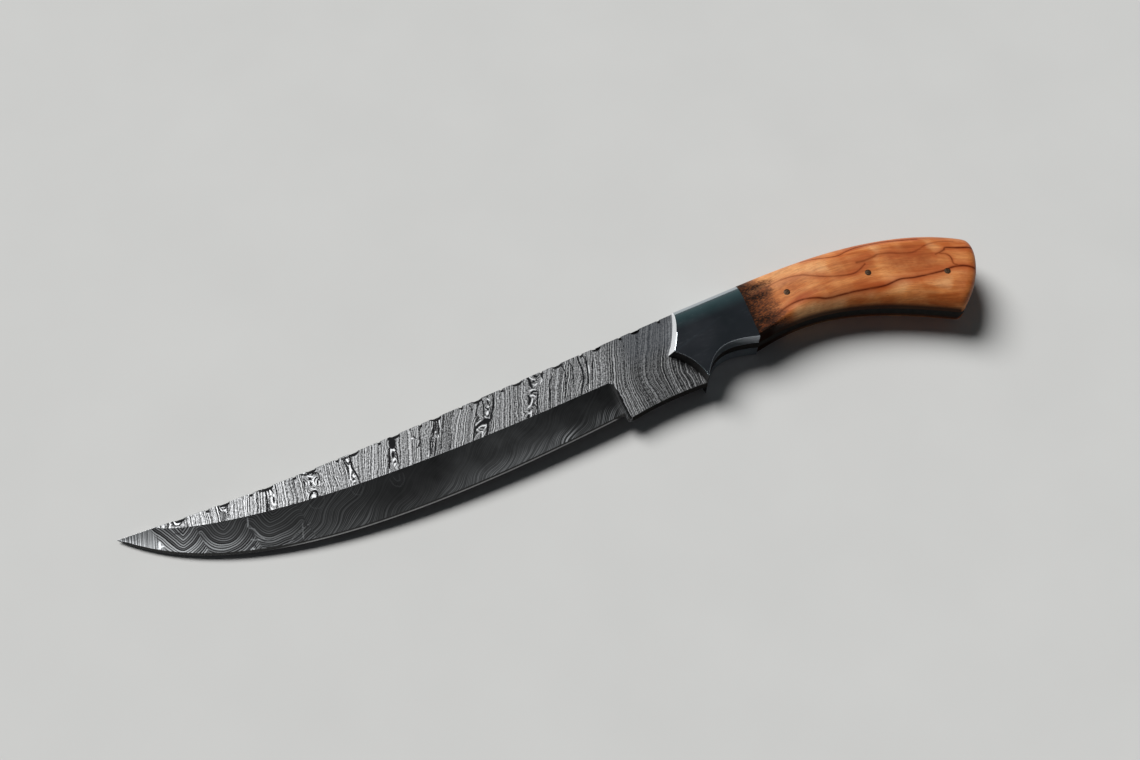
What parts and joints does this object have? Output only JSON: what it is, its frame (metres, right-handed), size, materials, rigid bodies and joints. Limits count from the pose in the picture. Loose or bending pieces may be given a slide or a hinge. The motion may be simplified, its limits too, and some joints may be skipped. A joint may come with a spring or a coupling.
{
  "type": "fillet knife",
  "caption": "Fixed-blade fillet knife with a hollow-ground patterned blade on a full tang, polished bolsters with a guard point, and curved wood scales held by pins.",
  "frame": {"origin": "middle of the underside of the bounding box, with the knife lying flat on its right side", "axes": "+X along the knife from tip to butt, +Y from cutting edge to spine, +Z out of the left side, the side the picture shows"},
  "size_m": [0.33, 0.048, 0.0181],
  "materials": {
    "patterned_steel": "etched layered steel, light and dark lines",
    "polished_steel": "mirror polish",
    "olive_wood": "oiled, satin",
    "dark_steel": "darkened pin ends"
  },
  "bodies": {
    "root": {"blade": "patterned_steel", "bolster_left": "polished_steel", "bolster_right": "polished_steel", "scale_left": "olive_wood", "scale_right": "olive_wood", "handle_pin_front": "dark_steel", "handle_pin_middle": "dark_steel", "handle_pin_rear": "dark_steel", "bolster_pin_upper": "dark_steel", "bolster_pin_lower": "dark_steel"}
  },
  "joints": []
}
